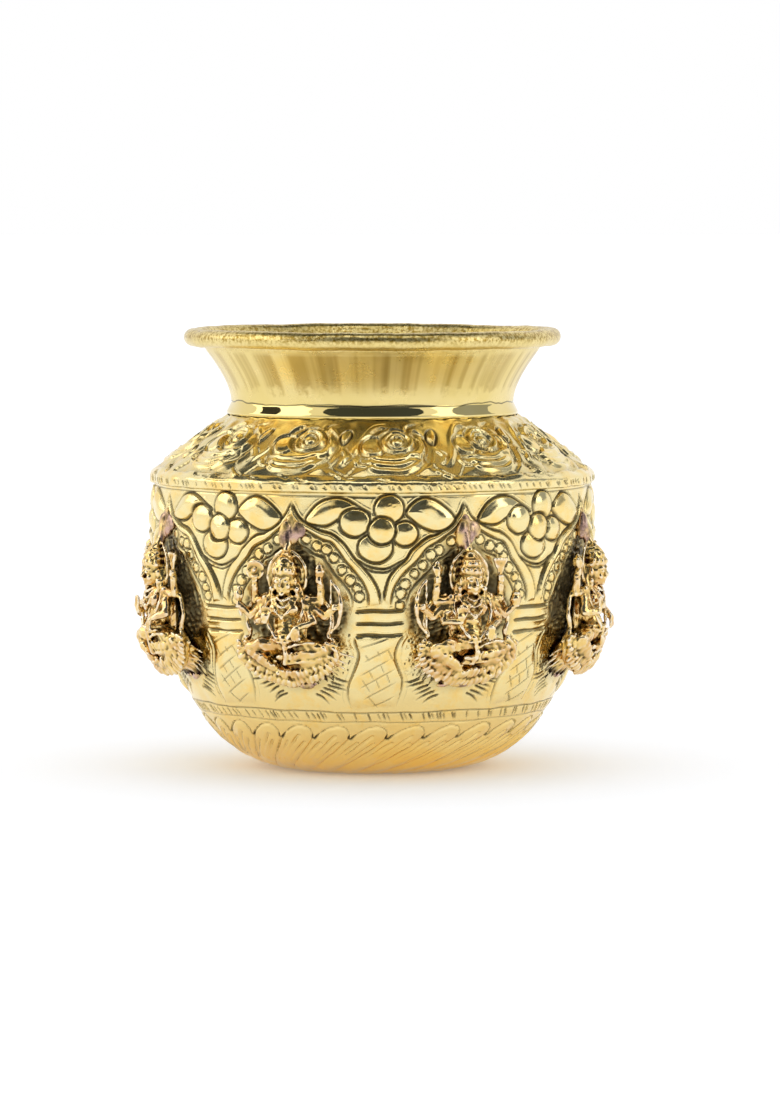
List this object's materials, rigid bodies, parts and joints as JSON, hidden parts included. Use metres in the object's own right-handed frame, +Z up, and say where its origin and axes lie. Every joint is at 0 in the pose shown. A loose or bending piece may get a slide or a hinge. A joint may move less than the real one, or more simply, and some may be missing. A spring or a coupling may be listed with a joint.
{
  "type": "kalash",
  "caption": "Brass ritual water pot with a gadrooned bowl, chased wall and shoulder, a flared neck with a rolled rim, and cast seated figures round the wall.",
  "frame": {"origin": "centre of the underside of the flat base, which stands on z = 0", "axes": "+Z up along the axis of the pot, -Y towards the bay between figure_1 and figure_2, +X to the right seen from the front"},
  "size_m": [0.1352, 0.1352, 0.125],
  "materials": {
    "chased_brass": "polished, raised and chased sheet brass",
    "spun_brass": "spun sheet brass with fine turning lines",
    "cast_brass": "antiqued cast brass with dark recesses",
    "braze": "coppery braze"
  },
  "bodies": {
    "root": {"body_bowl": "chased_brass", "shoulder_dome": "chased_brass", "neck_funnel": "spun_brass", "rim_wire": "spun_brass", "neck_seam_braze": "braze", "shoulder_seam_braze": "braze", "figure_1": "cast_brass", "crown_braze_1": "braze", "seat_braze_1": "braze", "figure_2": "cast_brass", "crown_braze_2": "braze", "seat_braze_2": "braze", "figure_3": "cast_brass", "crown_braze_3": "braze", "seat_braze_3": "braze", "figure_4": "cast_brass", "crown_braze_4": "braze", "seat_braze_4": "braze", "figure_5": "cast_brass", "crown_braze_5": "braze", "seat_braze_5": "braze", "figure_6": "cast_brass", "crown_braze_6": "braze", "seat_braze_6": "braze", "figure_7": "cast_brass", "crown_braze_7": "braze", "seat_braze_7": "braze", "figure_8": "cast_brass", "crown_braze_8": "braze", "seat_braze_8": "braze"}
  },
  "joints": []
}
